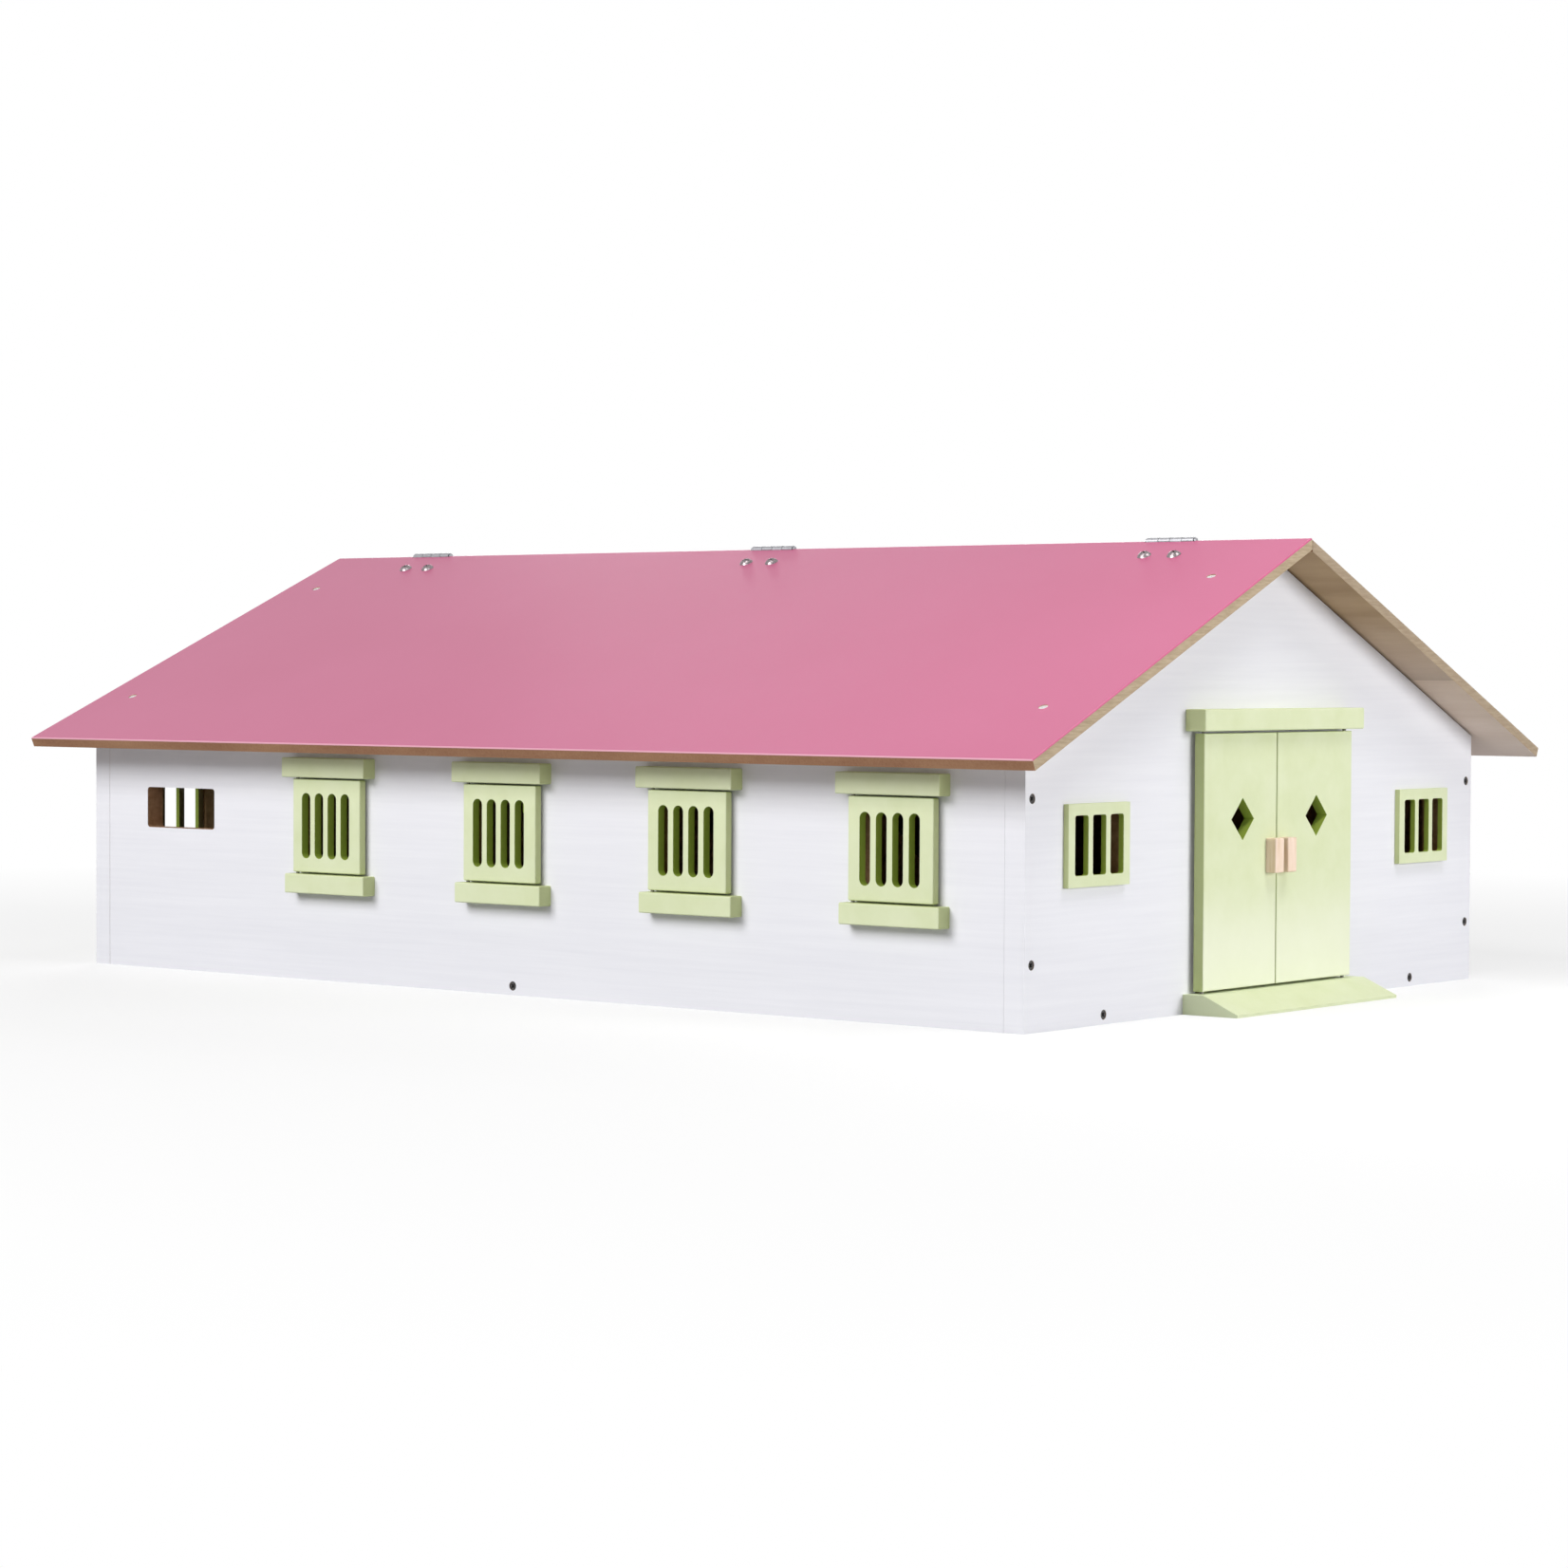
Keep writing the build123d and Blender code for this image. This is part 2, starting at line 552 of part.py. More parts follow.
def shutter_pins(x):
    px = x + SHUTTER_PIVOT_X
    return [pivot_pin(px, SHUTTER_PIVOT_Y, SHUTTER_LOW - SHUTTER_GAP, SHUTTER_LOW),
            pivot_pin(px, SHUTTER_PIVOT_Y, SHUTTER_HIGH + SHUTTER_GAP, SHUTTER_HIGH)]


# Stall partitions

def partition(side, x):
    """A board from the long wall to the aisle, its top stepping down in an S curve of two arcs."""
    wall_y, aisle_y = INSIDE_W / 2, AISLE_W / 2
    high, low = FLOOR_T + STALL_HEAD_H, FLOOR_T + STALL_TAIL_H
    y0, y1 = wall_y - STALL_LEVEL, aisle_y + STALL_TAIL
    middle = ((y0 + y1) / 2, (high + low) / 2)
    radius = ((y0 - y1) ** 2 + (high - low) ** 2) / (4 * (high - low))
    sag = radius - sqrt(radius ** 2 - ((y0 - y1) / 4) ** 2)
    edge = (Polyline((aisle_y, low), (aisle_y, FLOOR_T), (wall_y, FLOOR_T), (wall_y, high), (y0, high))
            + ThreePointArc((y0, high), ((3 * y0 + y1) / 4, high - sag), middle)
            + ThreePointArc(middle, ((y0 + 3 * y1) / 4, low + sag), (y1, low))
            + Line((y1, low), (aisle_y, low)))
    face = make_face(edge)
    nose = face.vertices().sort_by(Axis.X)[:2].sort_by(Axis.Y)[-1]
    face = fillet(nose, STALL_NOSE_R)
    upright = Plane(origin=(x, 0, 0), x_dir=(0, side, 0), z_dir=(side, 0, 0))
    return extrude(upright * face, PARTITION_T / 2, both=True)


def partition_x(index):
    """Between two windows, counted from the near gable."""
    return window_x(index) - WINDOW_PITCH / 2


def pieces():
    """Every piece by its name."""
    named = {
        "floor_panel": floor_panel(),
        "front_wall": front_wall(),
        "rear_wall": long_wall(REAR),
        "near_gable": gable_wall(),
        "far_gable": mirror(gable_wall(), Plane.YZ),
        "front_roof_panel": drilled(roof_panel(FRONT), SCREW_HOLE, roof_screw_planes()),
        "rear_roof_panel": roof_panel(REAR),
        "hinge_pins": Compound([hinge_pin(x) for x in HINGE_XS]),
        "front_hinge_bolts": group(BOLT, bolt_planes(FRONT)),
        "front_hinge_nuts": group(NUT, bolt_planes(FRONT)),
        "rear_hinge_bolts": group(BOLT, bolt_planes(REAR)),
        "rear_hinge_nuts": group(NUT, bolt_planes(REAR)),
        "roof_screws": group(SCREW, roof_screw_planes()),
        "corner_screws": group(SCREW, corner_screw_planes()),
        "floor_screws": group(SCREW, floor_screw_planes()),
        "door_pins": Compound(door_pins() + [far_end(p) for p in door_pins()]),
        "shutter_pins": Compound([p for i in range(WINDOWS) for p in shutter_pins(window_x(i))]),
    }
    for number, x in enumerate(HINGE_XS, 1):
        named[f"hinge_{number}_fixed_leaf"] = hinge_leaf(FRONT, x)
        named[f"hinge_{number}_moving_leaf"] = hinge_leaf(REAR, x)

    at_gables = {"lintel": lintel(), "ramp": ramp()}
    for side, hand in ((-1, "left"), (1, "right")):
        at_gables[f"{hand}_door"] = door_leaf(side)
        at_gables[f"{hand}_door_handle"] = door_handle(side)
        at_gables[f"{hand}_window_grille"] = gable_grille(side)
    for name, piece in at_gables.items():
        named[f"near_{name}"] = piece
        named[f"far_{name}"] = far_end(piece)

    for index in range(WINDOWS):
        here = Pos(window_x(index), 0, 0)
        named[f"window_{index + 1}_header"] = here * window_header()
        named[f"window_{index + 1}_sill"] = here * window_sill()
        named[f"window_{index + 1}_shutter"] = here * shutter()
        named[f"front_partition_{index + 1}"] = partition(FRONT, partition_x(index))
        named[f"rear_partition_{index + 1}"] = partition(REAR, partition_x(index))
    return named


os.makedirs("parts", exist_ok=True)
for name, piece in pieces().items():
    export_step(piece, f"parts/{name}.step")
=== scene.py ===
from math import cos, radians, sin

import bpy
from mathutils import Matrix, Vector


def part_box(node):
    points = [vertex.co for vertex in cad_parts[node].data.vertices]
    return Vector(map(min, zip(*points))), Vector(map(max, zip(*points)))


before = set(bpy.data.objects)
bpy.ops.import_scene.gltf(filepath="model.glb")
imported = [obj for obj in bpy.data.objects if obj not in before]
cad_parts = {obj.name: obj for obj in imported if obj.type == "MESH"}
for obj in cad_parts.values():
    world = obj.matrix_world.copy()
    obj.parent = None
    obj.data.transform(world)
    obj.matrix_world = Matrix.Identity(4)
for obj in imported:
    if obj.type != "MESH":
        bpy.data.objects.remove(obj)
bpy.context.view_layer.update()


# Roof panels
# Two 6 mm fibreboards with a printed film pressed on the top face, a thin beige backing sheet below and
# sawn brown ends. One is screwed to the gables and the other lifts on three hinges.

def linear(hex_colour):
    """An sRGB hex colour as linear red, green, blue and alpha."""
    channels = [int(hex_colour[i:i + 2], 16) / 255 for i in (1, 3, 5)]
    return tuple(c / 12.92 if c <= 0.04045 else ((c + 0.055) / 1.055) ** 2.4 for c in channels) + (1.0,)


def feed(tree, socket, value):
    """Gives an input a hex colour or a plain value, or links it to an output or a node's one live output."""
    if isinstance(value, bpy.types.Node):
        value = next(output for output in value.outputs if output.enabled)
    if isinstance(value, bpy.types.NodeSocket):
        tree.links.new(value, socket)
    else:
        socket.default_value = linear(value) if isinstance(value, str) else value


def add(tree, kind, inputs=None, **settings):
    """Adds a node with its settings and feeds its inputs."""
    made = tree.nodes.new(kind)
    for name, value in settings.items():
        setattr(made, name, value)
    for name, value in (inputs or {}).items():
        feed(tree, made.inputs[name], value)
    return made


def new_finish(name):
    """A new material: itself, its node tree, its principled shader and the object's own coordinates."""
    made = bpy.data.materials.new(name)
    made.use_nodes = True
    tree = made.node_tree
    return made, tree, tree.nodes["Principled BSDF"], add(tree, "ShaderNodeTexCoord")


MM_PER_METRE = 1000.0
BLOTCH_ROUGHNESS = 0.6                 # how strongly the finer steps of the noise show
NOISE_DARK, NOISE_LIGHT = 0.3, 0.7     # the span that the noise keeps to, nearly everywhere


def blotches(tree, where, millimetres, detail=4.0):
    """Soft noise whose blotches are so many millimetres along X, Y and Z."""
    per_metre = [MM_PER_METRE / size for size in millimetres]
    scaled = add(tree, "ShaderNodeVectorMath", {0: where.outputs["Object"], 1: per_metre},
                 operation="MULTIPLY")
    return add(tree, "ShaderNodeTexNoise", {"Vector": scaled, "Scale": 1.0, "Detail": detail,
                                            "Roughness": BLOTCH_ROUGHNESS}).outputs["Fac"]


def tint(tree, noise, dark, light):
    """The colour that runs from dark to light with the noise."""
    spread = add(tree, "ShaderNodeMapRange", {"Value": noise, "From Min": NOISE_DARK,
                                              "From Max": NOISE_LIGHT})
    return add(tree, "ShaderNodeMix", {"Factor": spread, "A": dark, "B": light}, data_type="RGBA")


def dress(made, shader, colour, roughness, relief=None, depth=0.0001, strength=0.2):
    """Gives the shader its colour, its roughness and a relief of this depth in metres."""
    tree = made.node_tree
    feed(tree, shader.inputs["Base Color"], colour)
    feed(tree, shader.inputs["Roughness"], roughness)
    if relief:
        bump = add(tree, "ShaderNodeBump", {"Height": relief, "Strength": strength, "Distance": depth})
        feed(tree, shader.inputs["Normal"], bump)
    return made


def put_on(made, *nodes):
    """The finish on these pieces."""
    for name in nodes:
        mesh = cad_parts[name].data
        mesh.materials.clear()
        mesh.materials.append(made)


ROOF_PITCH = radians(23.8)
ROOF_RUN = 0.24              # level distance from the ridge to the eave, m
SHEET_LIGHT_STARTS = 0.3            # share of that distance at which painted light begins to make the backing sheet paler
SHEET_TONE_LINE = 0.1552        # level distance from the ridge to the line where the backing sheet's darker band stops, m
DARK_BAND_BREADTH = 0.030           # breadth of the darker band on the ridge side of that line, m
DARK_BAND_SHARE = 0.3              # share of its brown at that line

FILM_CLOUDS = (200.0, 200.0, 200.0)     # mm, the print is all but even
FIBRES = (1.1, 2.0, 1.1)                # mm, about 0.3 in the real board and drawn as coarse as it shows
STAINS = (70.0, 25.0, 25.0)             # mm, orange brown patches on the long ends
STAIN_SHARE = 0.5
SAW_MARKS = (1.1, 9.0, 1.1)             # mm, drawn coarser than the real teeth left them
SHEET_GRAIN = (110.0, 17.0, 17.0)       # mm, level clouds in the printed wood of the backing sheet

SHEET_END = -0.7             # cosine from the panel's upright under which a face is the backing sheet
GABLE_TURN = 0.5             # share of X in the normal past which a face is a gable end
RIM_HIGHLIGHT_STARTS, RIM_HIGHLIGHT_FULL = 0.97, 0.80     # cosines at which the painted highlight on the pressed rim begins and is full
RIM_HIGHLIGHT_SHARE = 0.45              # share of the painted highlight's pale pink on the rim
FILM_ROUGHNESS, BOARD_ROUGHNESS = 0.34, 0.8


def roof_board(row, side, film_end, sawn):
    """Film faced fibreboard: an even satin pink above, with a pale pink painted highlight on the long rims, a
    soft matt beige sheet below that is paler towards the eave as painted light and darkens in a band up to
    one level line, and brown ends with a fine pressed fibre, the long ends darker as partly painted shade and
    the gable ends paler as partly painted light. The film goes round the rim until the cosine from the
    panel's upright falls to film_end."""
    made, tree, shader, where = new_finish(f"pink film faced fibreboard {row}")
    place = add(tree, "ShaderNodeSeparateXYZ", {"Vector": where.outputs["Object"]}).outputs
    turned = add(tree, "ShaderNodeSeparateXYZ", {"Vector": where.outputs["Normal"]}).outputs
    upright = (0.0, side * sin(ROOF_PITCH), cos(ROOF_PITCH))
    facing = add(tree, "ShaderNodeVectorMath", {0: where.outputs["Normal"], 1: upright},
                 operation="DOT_PRODUCT")
    is_film = add(tree, "ShaderNodeMath", {0: facing, 1: film_end}, operation="GREATER_THAN")
    is_under = add(tree, "ShaderNodeMath", {0: facing, 1: SHEET_END}, operation="LESS_THAN")
    off_gable = add(tree, "ShaderNodeMath", {0: turned["X"], 1: 0.0, 2: GABLE_TURN}, operation="COMPARE")

    film = tint(tree, blotches(tree, where, FILM_CLOUDS), "#bb4f7a", "#bf5580")
    # Painted highlight: a pale pink line on the rounded long rims of the film, where light caught the edge.
    rim_highlight = add(tree, "ShaderNodeMapRange", {"Value": facing, "From Min": RIM_HIGHLIGHT_STARTS, "From Max": RIM_HIGHLIGHT_FULL,
                                            "To Max": RIM_HIGHLIGHT_SHARE})
    rim = add(tree, "ShaderNodeMath", {0: rim_highlight, 1: off_gable}, operation="MULTIPLY")
    film = add(tree, "ShaderNodeMix", {"Factor": rim, "A": film, "B": "#f2d3da"}, data_type="RGBA")

    fibre = blotches(tree, where, FIBRES)
    # Partly painted shade: the long ends, the eave faces among them, get a darker brown than the gable ends.
    grain = tint(tree, fibre, "#7a563c", "#9a7355")
    stain = tint(tree, blotches(tree, where, STAINS), "#7c5038", "#a8805f")
    long_end = add(tree, "ShaderNodeMix", {"Factor": STAIN_SHARE, "A": grain, "B": stain},
                   data_type="RGBA")
    # Partly painted light: the gable ends get a paler brown than the long ends.
    gable_end = tint(tree, blotches(tree, where, SAW_MARKS), *sawn)
    core = add(tree, "ShaderNodeMix", {"Factor": off_gable, "A": gable_end, "B": long_end}, data_type="RGBA")

    clouds = blotches(tree, where, SHEET_GRAIN)
    # Painted light and shade: the backing sheet runs from a darker brown near the ridge to a pale beige at
    # the eave.
    upper = tint(tree, clouds, "#a08465", "#b59979")
    lower = tint(tree, clouds, "#e9d5c7", "#f4e3d8")
    out = add(tree, "ShaderNodeMath", {0: place["Y"]}, operation="ABSOLUTE")
    eave_light = add(tree, "ShaderNodeMapRange", {"Value": out, "From Min": SHEET_LIGHT_STARTS * ROOF_RUN,
                                            "From Max": ROOF_RUN})
    sheet = add(tree, "ShaderNodeMix", {"Factor": eave_light, "A": upper, "B": lower}, data_type="RGBA")
    # The sheet darkens in a band towards a level line and stops there.
    above_line = add(tree, "ShaderNodeMath", {0: out, 1: SHEET_TONE_LINE}, operation="LESS_THAN")
    band = add(tree, "ShaderNodeMapRange", {"Value": out, "From Min": SHEET_TONE_LINE - DARK_BAND_BREADTH,
                                            "From Max": SHEET_TONE_LINE, "To Max": DARK_BAND_SHARE})
    shade = add(tree, "ShaderNodeMath", {0: above_line, 1: band}, operation="MULTIPLY")
    sheet = add(tree, "ShaderNodeMix", {"Factor": shade, "A": sheet, "B": "#5d4a3a"}, data_type="RGBA")

    board = add(tree, "ShaderNodeMix", {"Factor": is_under, "A": core, "B": sheet}, data_type="RGBA")
    colour = add(tree, "ShaderNodeMix", {"Factor": is_film, "A": board, "B": film}, data_type="RGBA")
    shine = add(tree, "ShaderNodeMix", {"Factor": is_film, "A": BOARD_ROUGHNESS, "B": FILM_ROUGHNESS},
                data_type="FLOAT")
    return dress(made, shader, colour, roughness=shine, relief=fibre, strength=0.15)


# The rear panel's gable ends get a darker brown than the front panel's, painted shade.
put_on(roof_board("front", side=-1, film_end=0.12, sawn=("#a08d72", "#bba88c")), "front_roof_panel")
put_on(roof_board("rear", side=1, film_end=0.75, sawn=("#948069", "#aa9880")), "rear_roof_panel")


# Walls
# 12 mm boards, rolled white on the outside, where the level grain of the board just shows. Inside, and
# where windows and doorways are cut, the brown board is bare.

PAINT_SKIN = 0.0002                     # how far in from the outer faces the paint still counts as outside, m
FINE_STREAKS = (80.0, 80.0, 2.4)        # mm, level streaks of grain under the paint
BROAD_STREAKS = (330.0, 330.0, 22.0)    # mm, level passes of the roller
BROAD_DETAIL = 2.0                      # steps of the noise, fewer than usual so that they stay soft
BROAD_SHARE = 0.4                       # their share of the paint's colour
CUT_CRUMBS = (3.3, 3.3, 3.3)            # mm, tufts of fibre on the cut board


def white_wall():
    """Thin white paint on board: cool white, matt, with faint fine level streaks."""
    made, tree, shader, where = new_finish("white paint on board")
    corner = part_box("near_gable")[1]
    place = add(tree, "ShaderNodeSeparateXYZ", {"Vector": where.outputs["Object"]}).outputs
    faces = []
    for axis in "XY":
        reach = add(tree, "ShaderNodeMath", {0: place[axis]}, operation="ABSOLUTE")
        skin = getattr(corner, axis.lower()) - PAINT_SKIN
        faces.append(add(tree, "ShaderNodeMath", {0: reach, 1: skin}, operation="GREATER_THAN"))
    outside = add(tree, "ShaderNodeMath", {0: faces[0], 1: faces[1]}, operation="MAXIMUM")
    streaks = blotches(tree, where, FINE_STREAKS)
    fine = tint(tree, streaks, "#e1e1e7", "#e8e8ed")
    broad = tint(tree, blotches(tree, where, BROAD_STREAKS, BROAD_DETAIL), "#e1e1e7", "#e9e9ee")
    paint = add(tree, "ShaderNodeMix", {"Factor": BROAD_SHARE, "A": fine, "B": broad}, data_type="RGBA")
    bare = tint(tree, blotches(tree, where, CUT_CRUMBS), "#9b7656", "#b79271")
    colour = add(tree, "ShaderNodeMix", {"Factor": outside, "A": bare, "B": paint}, data_type="RGBA")
    shader.inputs["Specular IOR Level"].default_value = 0.2
    return dress(made, shader, colour, roughness=0.6, relief=streaks)


put_on(white_wall(), "front_wall", "rear_wall", "near_gable", "far_gable")


# Floor and stall partitions
# The same brown board with nothing on it, 10 mm under foot and 6 mm between the stalls. The partitions
# stand in two rows, one on each side of the aisle.

TUFTS = (4.5, 4.5, 4.5)                 # mm, tufts of fibre on the pressed face


def bare_board():
    """Hardboard: an even mid brown with fine fibres, and no shine."""
    made, tree, shader, where = new_finish("bare hardboard")
    fibre = blotches(tree, where, TUFTS)
    colour = tint(tree, fibre, "#9b7656", "#b79271")
    return dress(made, shader, colour, roughness=0.8, relief=fibre, depth=0.0002)


STALLS = [f"{row}_partition_{k}" for row in ("front", "rear") for k in (1, 2, 3, 4)]
put_on(bare_board(), "floor_panel", *STALLS)


# Painted woodwork
# Doors, lintels, ramps, window plates, headers, sills and shutters are small boards with sanded edges,
# sprayed pale green before they are glued or pinned on.

# Places and sizes of the cut-outs, m. They repeat every pitch along the wall.
DIAMONDS = {"along": "Y", "first": 0.03765, "pitch": 0.0753, "height": 0.1007,
            "half_width": 0.0116, "half_height": 0.0116}
GABLE_SLOTS = {"along": "Y", "first": 0.1651, "pitch": 0.3302, "height": 0.0913,
               "half_width": 0.0222, "half_height": 0.0155}
SHUTTER_SLOTS = {"along": "X", "first": 0.2618, "pitch": 0.1334, "height": 0.0883,
                 "half_width": 0.0195, "half_height": 0.0190}
FOOT_LIGHT_LOW, FOOT_LIGHT_HIGH = 0.030, 0.075      # heights between which the painted light at the doors' foot fades out to plain green, m
FOOT_LIGHT_SHARE = 0.6                        # share of the paler green, painted light, at the foot
SPRAY_CLOUDS = (22.0, 22.0, 22.0)       # mm, thicker and thinner coats
ORANGE_PEEL = (1.4, 1.4, 1.4)           # mm, as the dried spray shows it


def green_lacquer(pieces, faces, slope=0.5, edges="#cad49c", cut=None, pale=False):
    """Sprayed satin lacquer on wood: pale yellow green, a little uneven, with a faint orange peel. The sawn
    edges have a green of their own, deeper on most pieces, set per piece partly as painted shade and light.
    Inside the cut-outs the green is deeper still, painted shade in the recesses, and doors are paler
    towards the foot, painted light from the floor. An edge is a face whose normal has no more than slope of
    the axis named by faces."""
    made, tree, shader, where = new_finish(f"pale green sprayed lacquer on {pieces}")
    colour = tint(tree, blotches(tree, where, SPRAY_CLOUDS), "#d2dab1", "#d9e0bd")
    place = add(tree, "ShaderNodeSeparateXYZ", {"Vector": where.outputs["Object"]}).outputs
    turned = add(tree, "ShaderNodeSeparateXYZ", {"Vector": where.outputs["Normal"]}).outputs
    if pale:
        # Painted light: the doors go paler towards the foot, where light from the floor fell on them.
        low = add(tree, "ShaderNodeMapRange", {"Value": place["Z"], "From Min": FOOT_LIGHT_LOW,
                                               "From Max": FOOT_LIGHT_HIGH, "To Min": FOOT_LIGHT_SHARE, "To Max": 0.0},
                  interpolation_type="SMOOTHSTEP")
        colour = add(tree, "ShaderNodeMix", {"Factor": low, "A": colour, "B": "#eceedd"}, data_type="RGBA")
    edge = add(tree, "ShaderNodeMath", {0: turned[faces], 1: 0.0, 2: slope}, operation="COMPARE")
    colour = add(tree, "ShaderNodeMix", {"Factor": edge, "A": colour, "B": edges}, data_type="RGBA")
    if cut:
        half_pitch = cut["pitch"] / 2
        step = add(tree, "ShaderNodeMath", {0: place[cut["along"]], 1: cut["first"]}, operation="SUBTRACT")
        step = add(tree, "ShaderNodeMath", {0: step, 1: half_pitch, 2: -half_pitch}, operation="WRAP")
        beside = add(tree, "ShaderNodeMath", {0: step, 1: 0.0, 2: cut["half_width"]}, operation="COMPARE")
        level = add(tree, "ShaderNodeMath", {0: place["Z"], 1: cut["height"], 2: cut["half_height"]},
                    operation="COMPARE")
        near = add(tree, "ShaderNodeMath", {0: beside, 1: level}, operation="MULTIPLY")
        shaded_cutout = add(tree, "ShaderNodeMath", {0: near, 1: edge}, operation="MULTIPLY")
        # Painted shade: the sides of the cut-outs get a deeper, more saturated green.
        colour = add(tree, "ShaderNodeMix", {"Factor": shaded_cutout, "A": colour, "B": "#a9bf52"},
                     data_type="RGBA")
    shader.inputs["Specular IOR Level"].default_value = 0.15
    return dress(made, shader, colour, roughness=0.42, relief=blotches(tree, where, ORANGE_PEEL))


GABLE_ENDS = ("near", "far")
HANDS = ("left", "right")
WINDOWS = (1, 2, 3, 4)
DOORS = [f"{end}_{hand}_door" for end in GABLE_ENDS for hand in HANDS]
LEDGES = [f"window_{k}_{part}" for k in WINDOWS for part in ("header", "sill")]
put_on(green_lacquer("headers and sills", "Y"), *LEDGES)
put_on(green_lacquer("lintels", "X", edges="#d3dda8"), *[f"{end}_lintel" for end in GABLE_ENDS])
# Painted light: the ramps' ends and level faces get a paler green than other pieces' edges.
put_on(green_lacquer("ramps", "X", slope=0.2, edges="#dde6c0"), *[f"{end}_ramp" for end in GABLE_ENDS])
# Painted shade: the doors' edges get a darker green than other pieces' edges.
put_on(green_lacquer("doors", "X", edges="#b8c38b", cut=DIAMONDS, pale=True), *DOORS)
put_on(green_lacquer("gable grilles", "X", cut=GABLE_SLOTS),
       *[f"{end}_{hand}_window_grille" for end in GABLE_ENDS for hand in HANDS])
put_on(green_lacquer("shutters", "Y", cut=SHUTTER_SLOTS), *[f"window_{k}_shutter" for k in WINDOWS])


# Door handles
# A small block of bare beech, cut square and sanded, glued upright to each door leaf beside the joint
# between the two leaves.

BEECH_GRAIN = (2.0, 2.0, 25.0)          # mm, upright flecks


def bare_wood():
    """Sanded beech: pale pinkish cream with fine upright grain."""
    made, tree, shader, where = new_finish("bare sanded beech")
    grain = blotches(tree, where, BEECH_GRAIN)
    colour = tint(tree, grain, "#dfc3a6", "#f3ded0")
    return dress(made, shader, colour, roughness=0.6, relief=grain)


put_on(bare_wood(), *[f"{door}_handle" for door in DOORS])


# Hinges, bolts, screws and pins
# Zinc plated steel at the roof, dull pins in the doors and shutters, and blackened screws in the walls.
# The leaves are stamped from sheet and rolled into knuckles, the pins drawn and the heads pressed.

SCRATCHES = (0.7, 3.3, 0.7)             # mm, drawn coarser than real ones so that they show


def steel(name, dark, light, roughness):
    """Plated steel with fine scratches."""
    made, tree, shader, where = new_finish(name)
    scratch = blotches(tree, where, SCRATCHES)
    shader.inputs["Metallic"].default_value = 1.0
    colour = tint(tree, scratch, dark, light)
    return dress(made, shader, colour, roughness, relief=scratch, strength=0.1)


HINGES = [f"hinge_{k}_{which}_leaf" for k in (1, 2, 3) for which in ("fixed", "moving")]
BOLTS = [f"{side}_hinge_{part}" for side in ("front", "rear") for part in ("bolts", "nuts")]
put_on(steel("zinc plated steel", "#8e8e92", "#a8a8ac", 0.35), "hinge_pins", *HINGES)
# Painted reflection and shade: the bolts and nuts get a darker steel with a pink tinge, for the pink roof and
# dark parts that their heads mirror.
put_on(steel("darker zinc plated steel", "#5e5256", "#a39a9c", 0.30), *BOLTS)
put_on(steel("bright nickel plated steel", "#ececee", "#fafafa", 0.4), "roof_screws")
put_on(steel("dull steel wire", "#6c6a66", "#84827e", 0.45), "door_pins", "shutter_pins")
put_on(steel("blackened steel", "#413f41", "#63615f", 0.35), "corner_screws", "floor_screws")


# Floor of the studio
# A matt white sheet that the object stands on. It runs out under it and fades into the white behind, and
# keeps the object's faint shadow.

SHEET_SIZE = 12.0                       # m
FADE_NEAR, FADE_FAR = 0.5, 1.3          # distances from the object's middle over which it fades, m
SHEET_GLOW = 0.60                       # share of plain white that the camera sees in the lit sheet
SHEET_BOUNCE = "#a8a8a8"                # what the sheet throws back on the object


def looked_at(tree):
    """1 for the camera, for gloss and through glass, which all see the white behind the object."""
    rays = add(tree, "ShaderNodeLightPath").outputs
    direct = add(tree, "ShaderNodeMath", {0: rays["Is Camera Ray"], 1: rays["Is Transmission Ray"]},
                 operation="MAXIMUM")
    return add(tree, "ShaderNodeMath", {0: direct, 1: rays["Is Glossy Ray"]}, operation="MAXIMUM")


def paper():
    """White paper: matt, and faded out by distance so that no edge shows."""
    made, tree, shader, where = new_finish("white paper")
    seen = looked_at(tree)
    far = add(tree, "ShaderNodeVectorMath", {0: where.outputs["Object"]}, operation="LENGTH")
    fade = add(tree, "ShaderNodeMapRange", {"Value": far, "From Min": FADE_NEAR, "From Max": FADE_FAR,
                                            "To Min": SHEET_GLOW})
    share = add(tree, "ShaderNodeMath", {0: fade, 1: seen}, operation="MULTIPLY")
    white = add(tree, "ShaderNodeEmission", {"Color": "#ffffff", "Strength": 1.0})
    mixed = add(tree, "ShaderNodeMixShader", {0: share, 1: shader.outputs[0], 2: white})
    feed(tree, tree.nodes["Material Output"].inputs["Surface"], mixed)
    colour = add(tree, "ShaderNodeMix", {"Factor": seen, "A": SHEET_BOUNCE, "B": "#fafafa"},
                 data_type="RGBA")
    shader.inputs["Specular IOR Level"].default_value = 0.2
    return dress(made, shader, colour, roughness=0.9)


bpy.ops.mesh.primitive_plane_add(size=SHEET_SIZE, location=(0.0, 0.0, 0.0))
floor = bpy.context.object
floor.name = "studio_floor"
floor.data.materials.append(paper())


# Light
# Broad soft lamps stand well out: one before the long wall and a little to its left, one right of the gable
# and one behind. Weaker ones fill from the camera's side and light the sheet at the gable and the roof.

SURROUND = 0.04              # strength of the surround on matt surfaces, where the camera sees plain white

world = bpy.data.worlds.new("white surround")
bpy.context.scene.world = world
world.use_nodes = True
sky = world.node_tree
level = add(sky, "ShaderNodeMix", {"Factor": looked_at(sky), "A": SURROUND, "B": 1.0}, data_type="FLOAT")
feed(sky, sky.nodes["Background"].inputs["Color"], "#ffffff")
feed(sky, sky.nodes["Background"].inputs["Strength"], level)


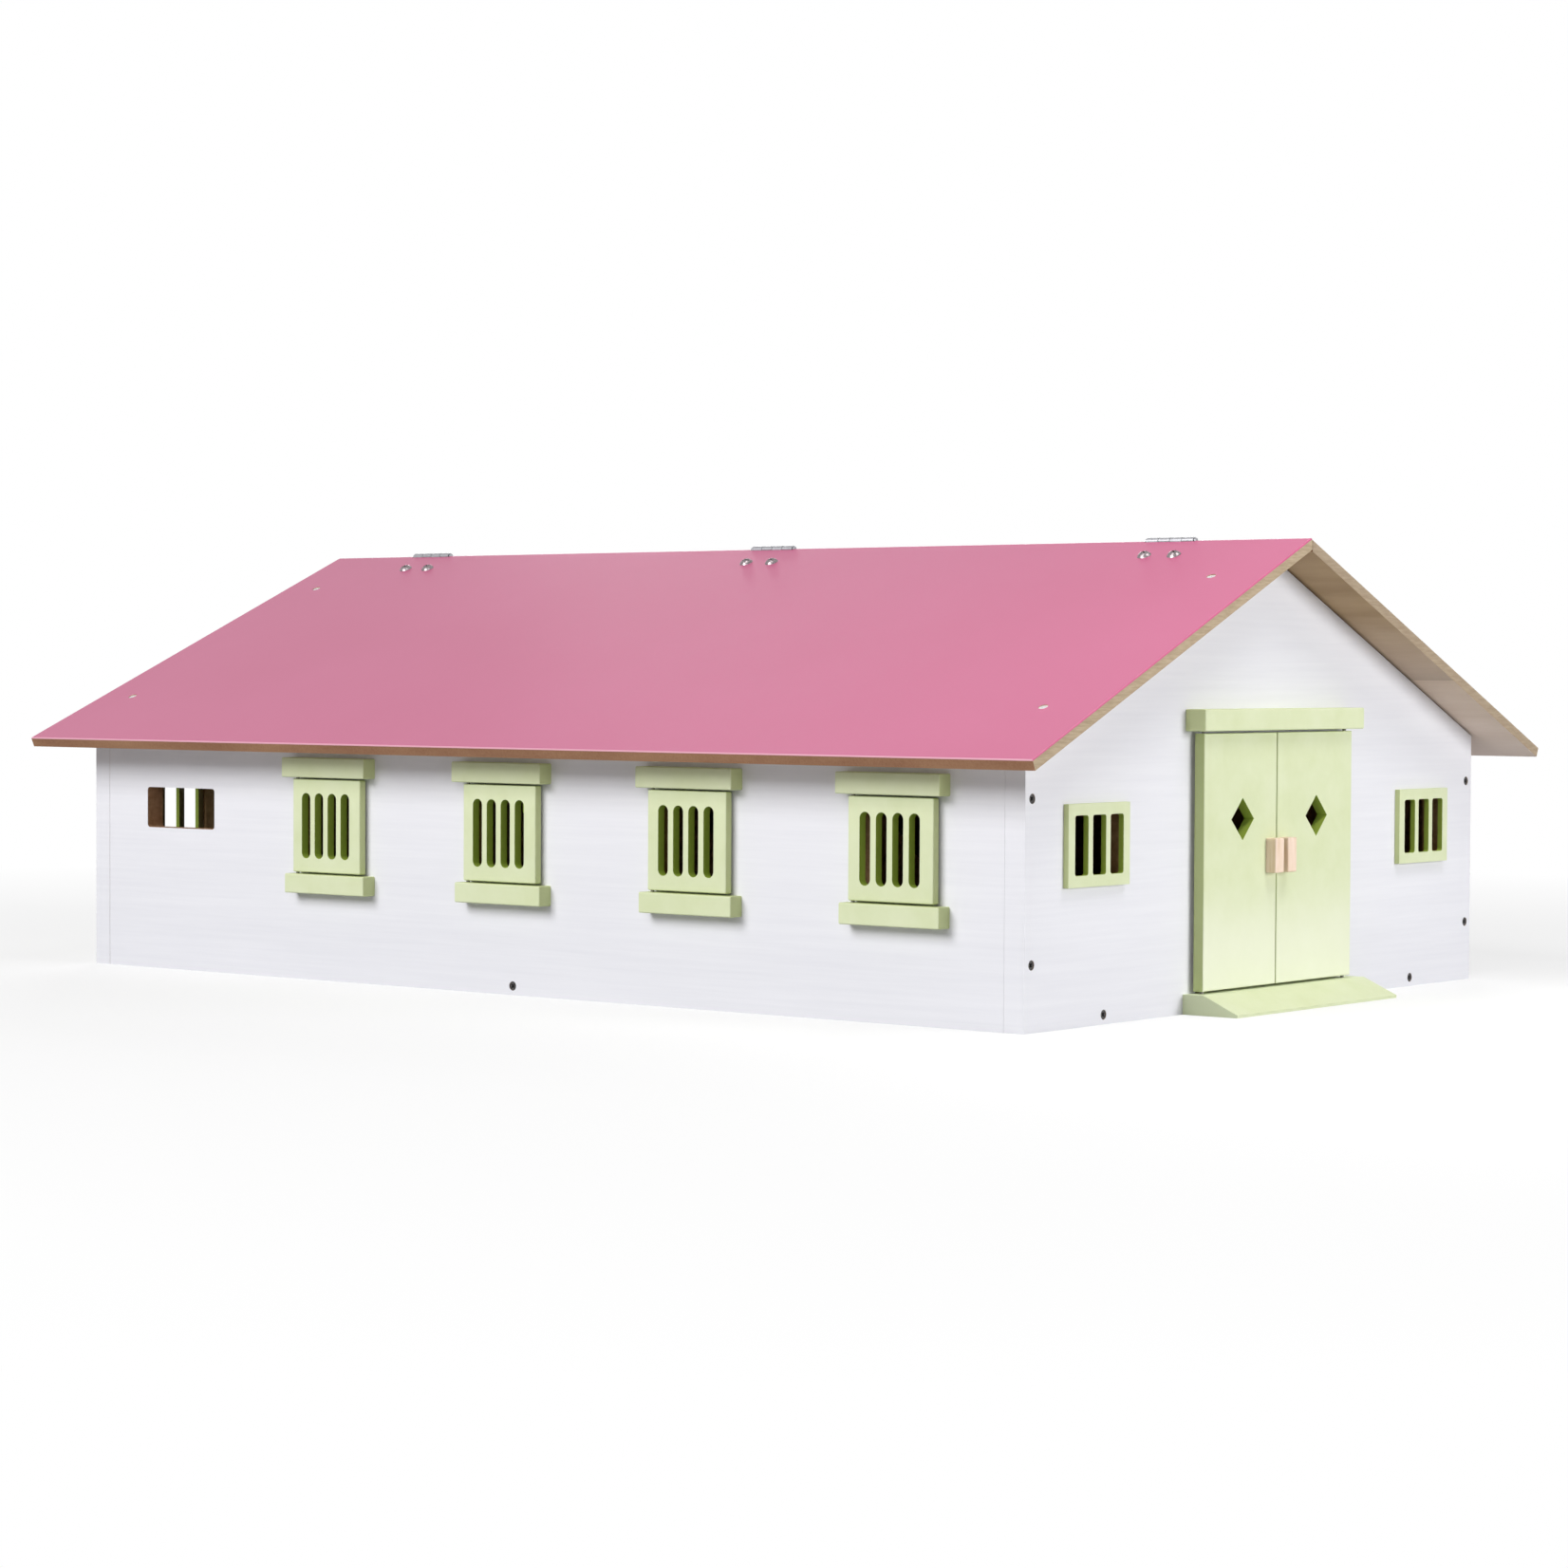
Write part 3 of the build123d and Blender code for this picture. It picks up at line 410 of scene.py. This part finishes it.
def softbox(name, place, aim, width, watts, spread=180.0):
    """A square area lamp at a place, facing a point, that throws its light within so many degrees."""
    lamp = bpy.data.lights.new(name, "AREA")
    lamp.size = width
    lamp.energy = watts
    lamp.spread = radians(spread)
    made = bpy.data.objects.new(name, lamp)
    bpy.context.scene.collection.objects.link(made)
    made.location = place
    made.rotation_euler = (Vector(aim) - Vector(place)).to_track_quat("-Z", "Y").to_euler()


MIDDLE = (0.0, 0.0, 0.1)     # the middle of the building, which the broad lamps face

softbox("left softbox", (-0.7, -3.5, 2.1), MIDDLE, width=2.0, watts=138.0)
softbox("right softbox", (3.5, 0.8, 0.7), MIDDLE, width=1.3, watts=74.0)
softbox("floor softbox", (0.80, 0.02, 1.0), (0.75, 0.02, 0.0), width=0.4, watts=1.8, spread=80.0)
softbox("fill softbox", (1.2, -2.8, 1.2), MIDDLE, width=1.2, watts=14.0)
softbox("rear softbox", (-2.2, 2.9, 0.9), MIDDLE, width=1.6, watts=60.0)
softbox("roof softbox", (0.12, -0.35, 0.95), (0.12, -0.15, 0.2), width=0.3, watts=1.1)


# Camera
# The photograph's viewpoint: out from the corner of the front wall and the near gable, a little above the
# door, almost level. The vanishing lines of the walls and roof give its place, its turn and its lens.

PHOTO_PX = 1652.0
FOCAL_PX = 3995.0
SENSOR_MM = 36.0
CLIP_END = 50.0              # m, past the far edge of the sheet
EYE = Vector((1.4043, -1.7491, 0.1781))
YAW, PITCH, ROLL = radians(38.589), radians(-1.721), radians(0.258)

forward = Vector((-sin(YAW) * cos(PITCH), cos(YAW) * cos(PITCH), sin(PITCH)))
level_right = Vector((cos(YAW), sin(YAW), 0.0))
level_up = level_right.cross(forward)
right = cos(ROLL) * level_right + sin(ROLL) * level_up
up = cos(ROLL) * level_up - sin(ROLL) * level_right
lens = bpy.data.cameras.new("photo viewpoint")
lens.sensor_width = SENSOR_MM
lens.lens = FOCAL_PX / PHOTO_PX * SENSOR_MM
lens.clip_end = CLIP_END
camera = bpy.data.objects.new("photo viewpoint", lens)
camera.matrix_world = Matrix.Translation(EYE) @ Matrix((right, up, -forward)).transposed().to_4x4()
bpy.context.scene.collection.objects.link(camera)
bpy.context.scene.camera = camera

bpy.context.scene.view_settings.view_transform = "Standard"
